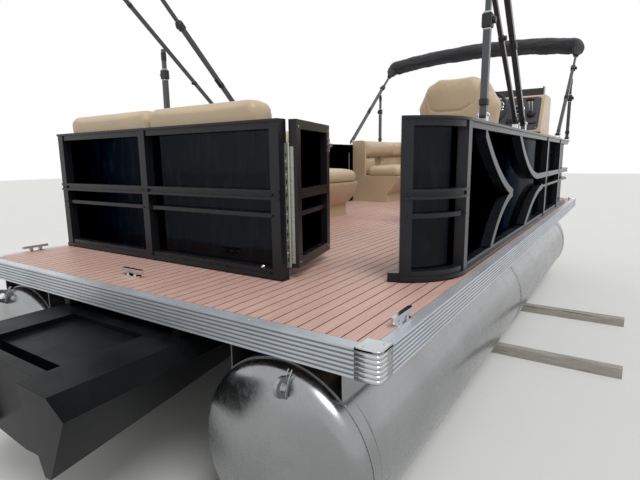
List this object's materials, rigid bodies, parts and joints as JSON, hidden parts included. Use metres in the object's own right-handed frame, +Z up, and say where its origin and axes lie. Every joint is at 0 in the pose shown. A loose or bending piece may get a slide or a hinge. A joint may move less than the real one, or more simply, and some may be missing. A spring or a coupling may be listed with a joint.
{
  "type": "pontoon boat",
  "caption": "Pontoon boat on ground timbers: round tubes under a planked deck with a panelled fence, gates, lounges, helm and folded tops held up on props.",
  "frame": {"origin": "middle of the whole boat's box, on the ground under the timbers", "axes": "+X to starboard, +Y forward to the bow, +Z up"},
  "size_m": [3.71, 6.122, 2.9336],
  "materials": {
    "timber": "weathered, rough sawn",
    "tube_aluminium": "rolled sheet, slightly brushed",
    "frame_aluminium": "mill finish",
    "trim_aluminium": "ribbed extrusion, satin",
    "board": "plywood",
    "planks": "wood-grain decking with dark seams",
    "polished_metal": "polished",
    "zinc": "zinc plate",
    "black_paint": "satin, wet beads",
    "fence_paint": "semi-gloss powder coat",
    "gloss_black": "mirror-gloss sheet",
    "moulded_tan": "fine moulded grain",
    "vinyl_tan": "soft marine vinyl with stitched seams",
    "wheel_black": "soft grip",
    "top_aluminium": "anodised square tube",
    "prop_paint": "semi-gloss powder coat",
    "boot_fabric": "coated canvas"
  },
  "bodies": {
    "hull": {"timbers": "timber", "pontoon_port": "tube_aluminium", "pontoon_starboard": "tube_aluminium", "risers": "frame_aluminium", "cross_members": "frame_aluminium", "deck_board": "board", "deck_planks": "planks", "edge_trim": "trim_aluminium", "corner_caps": "polished_metal", "tow_eyes": "tube_aluminium", "motor_pod": "black_paint", "cleats": "polished_metal", "fence_frame_aft": "fence_paint", "fence_frame_starboard": "fence_paint", "fence_frame_port": "fence_paint", "fence_frame_bow": "fence_paint", "fence_skin_aft": "gloss_black", "fence_skin_starboard": "gloss_black", "fence_skin_port": "gloss_black", "fence_skin_bow": "gloss_black", "hinge_leaves": "zinc", "aft_lounge_base": "moulded_tan", "aft_lounge_back": "vinyl_tan", "corner_seat": "vinyl_tan", "port_sofa_base": "moulded_tan", "port_sofa_back": "vinyl_tan", "starboard_sofa_base": "moulded_tan", "starboard_sofa_back": "vinyl_tan", "console": "moulded_tan", "steering_column": "wheel_black", "chair_pedestal": "polished_metal", "top_mounts": "polished_metal"},
    "aft_gate": {"aft_gate_frame": "fence_paint", "aft_gate_skin": "gloss_black", "aft_gate_leaf": "zinc"},
    "port_gate": {"port_gate_frame": "fence_paint", "port_gate_skin": "gloss_black", "port_gate_leaf": "zinc"},
    "bow_gate": {"bow_gate_frame": "fence_paint", "bow_gate_skin": "gloss_black", "bow_gate_leaf": "zinc"},
    "aft_lid": {"aft_seat": "vinyl_tan"},
    "bench_lid": {"port_bench_seat": "vinyl_tan"},
    "port_sofa_lid": {"port_sofa_seat": "vinyl_tan"},
    "starboard_sofa_lid": {"starboard_sofa_seat": "vinyl_tan"},
    "helm_wheel": {"steering_wheel": "wheel_black"},
    "helm_chair": {"chair_seat": "vinyl_tan", "chair_back": "vinyl_tan"},
    "aft_top": {"aft_top_legs": "top_aluminium", "aft_top_roll": "boot_fabric"},
    "fore_top": {"fore_top_legs": "top_aluminium", "fore_top_roll": "boot_fabric"},
    "aft_props": {"aft_top_props": "prop_paint"},
    "fore_props": {"fore_top_props": "prop_paint"}
  },
  "joints": [
    {"name": "aft_gate_swing", "type": "hinge", "parent": "hull", "child": "aft_gate", "pos_m": [0.551, -2.036, 1.232], "axis": [0, 0, 1], "range_deg": [-79, 0]},
    {"name": "port_gate_swing", "type": "hinge", "parent": "hull", "child": "port_gate", "pos_m": [-1.131, 1.419, 1.232], "axis": [0, 0, 1], "range_deg": [0, 90]},
    {"name": "bow_gate_swing", "type": "hinge", "parent": "hull", "child": "bow_gate", "pos_m": [0.304, 2.596, 1.232], "axis": [0, 0, 1], "range_deg": [0, 90]},
    {"name": "aft_lid_lift", "type": "hinge", "parent": "hull", "child": "aft_lid", "pos_m": [-0.1, -1.865, 1.312], "axis": [1, 0, 0], "range_deg": [0, 75]},
    {"name": "bench_lid_lift", "type": "hinge", "parent": "hull", "child": "bench_lid", "pos_m": [-0.96, -0.41, 1.312], "axis": [0, -1, 0], "range_deg": [0, 75]},
    {"name": "port_sofa_lid_lift", "type": "hinge", "parent": "hull", "child": "port_sofa_lid", "pos_m": [-0.96, 2.04, 1.312], "axis": [0, -1, 0], "range_deg": [0, 75]},
    {"name": "starboard_sofa_lid_lift", "type": "hinge", "parent": "hull", "child": "starboard_sofa_lid", "pos_m": [0.96, 1.94, 1.312], "axis": [0, 1, 0], "range_deg": [0, 75]},
    {"name": "steering_turn", "type": "hinge", "parent": "hull", "child": "helm_wheel", "pos_m": [0.69, 0.64569, 1.82179], "axis": [0, -0.9029, 0.4299], "range_deg": [-540, 540]},
    {"name": "chair_swivel", "type": "hinge", "parent": "hull", "child": "helm_chair", "pos_m": [0.69, 0, 1.382], "axis": [0, 0, 1], "continuous": true},
    {"name": "aft_top_raise", "type": "hinge", "parent": "hull", "child": "aft_top", "pos_m": [0, -0.26, 1.627], "axis": [-1, 0, 0], "range_deg": [0, 46]},
    {"name": "fore_top_raise", "type": "hinge", "parent": "hull", "child": "fore_top", "pos_m": [0, 1.55, 1.627], "axis": [1, 0, 0], "range_deg": [0, 49]},
    {"name": "aft_props_fold", "type": "hinge", "parent": "hull", "child": "aft_props", "pos_m": [0, -1.27, 1.614], "axis": [1, 0, 0], "range_deg": [0, 90]},
    {"name": "fore_props_fold", "type": "hinge", "parent": "hull", "child": "fore_props", "pos_m": [0, 2.35, 1.614], "axis": [-1, 0, 0], "range_deg": [0, 90]}
  ]
}
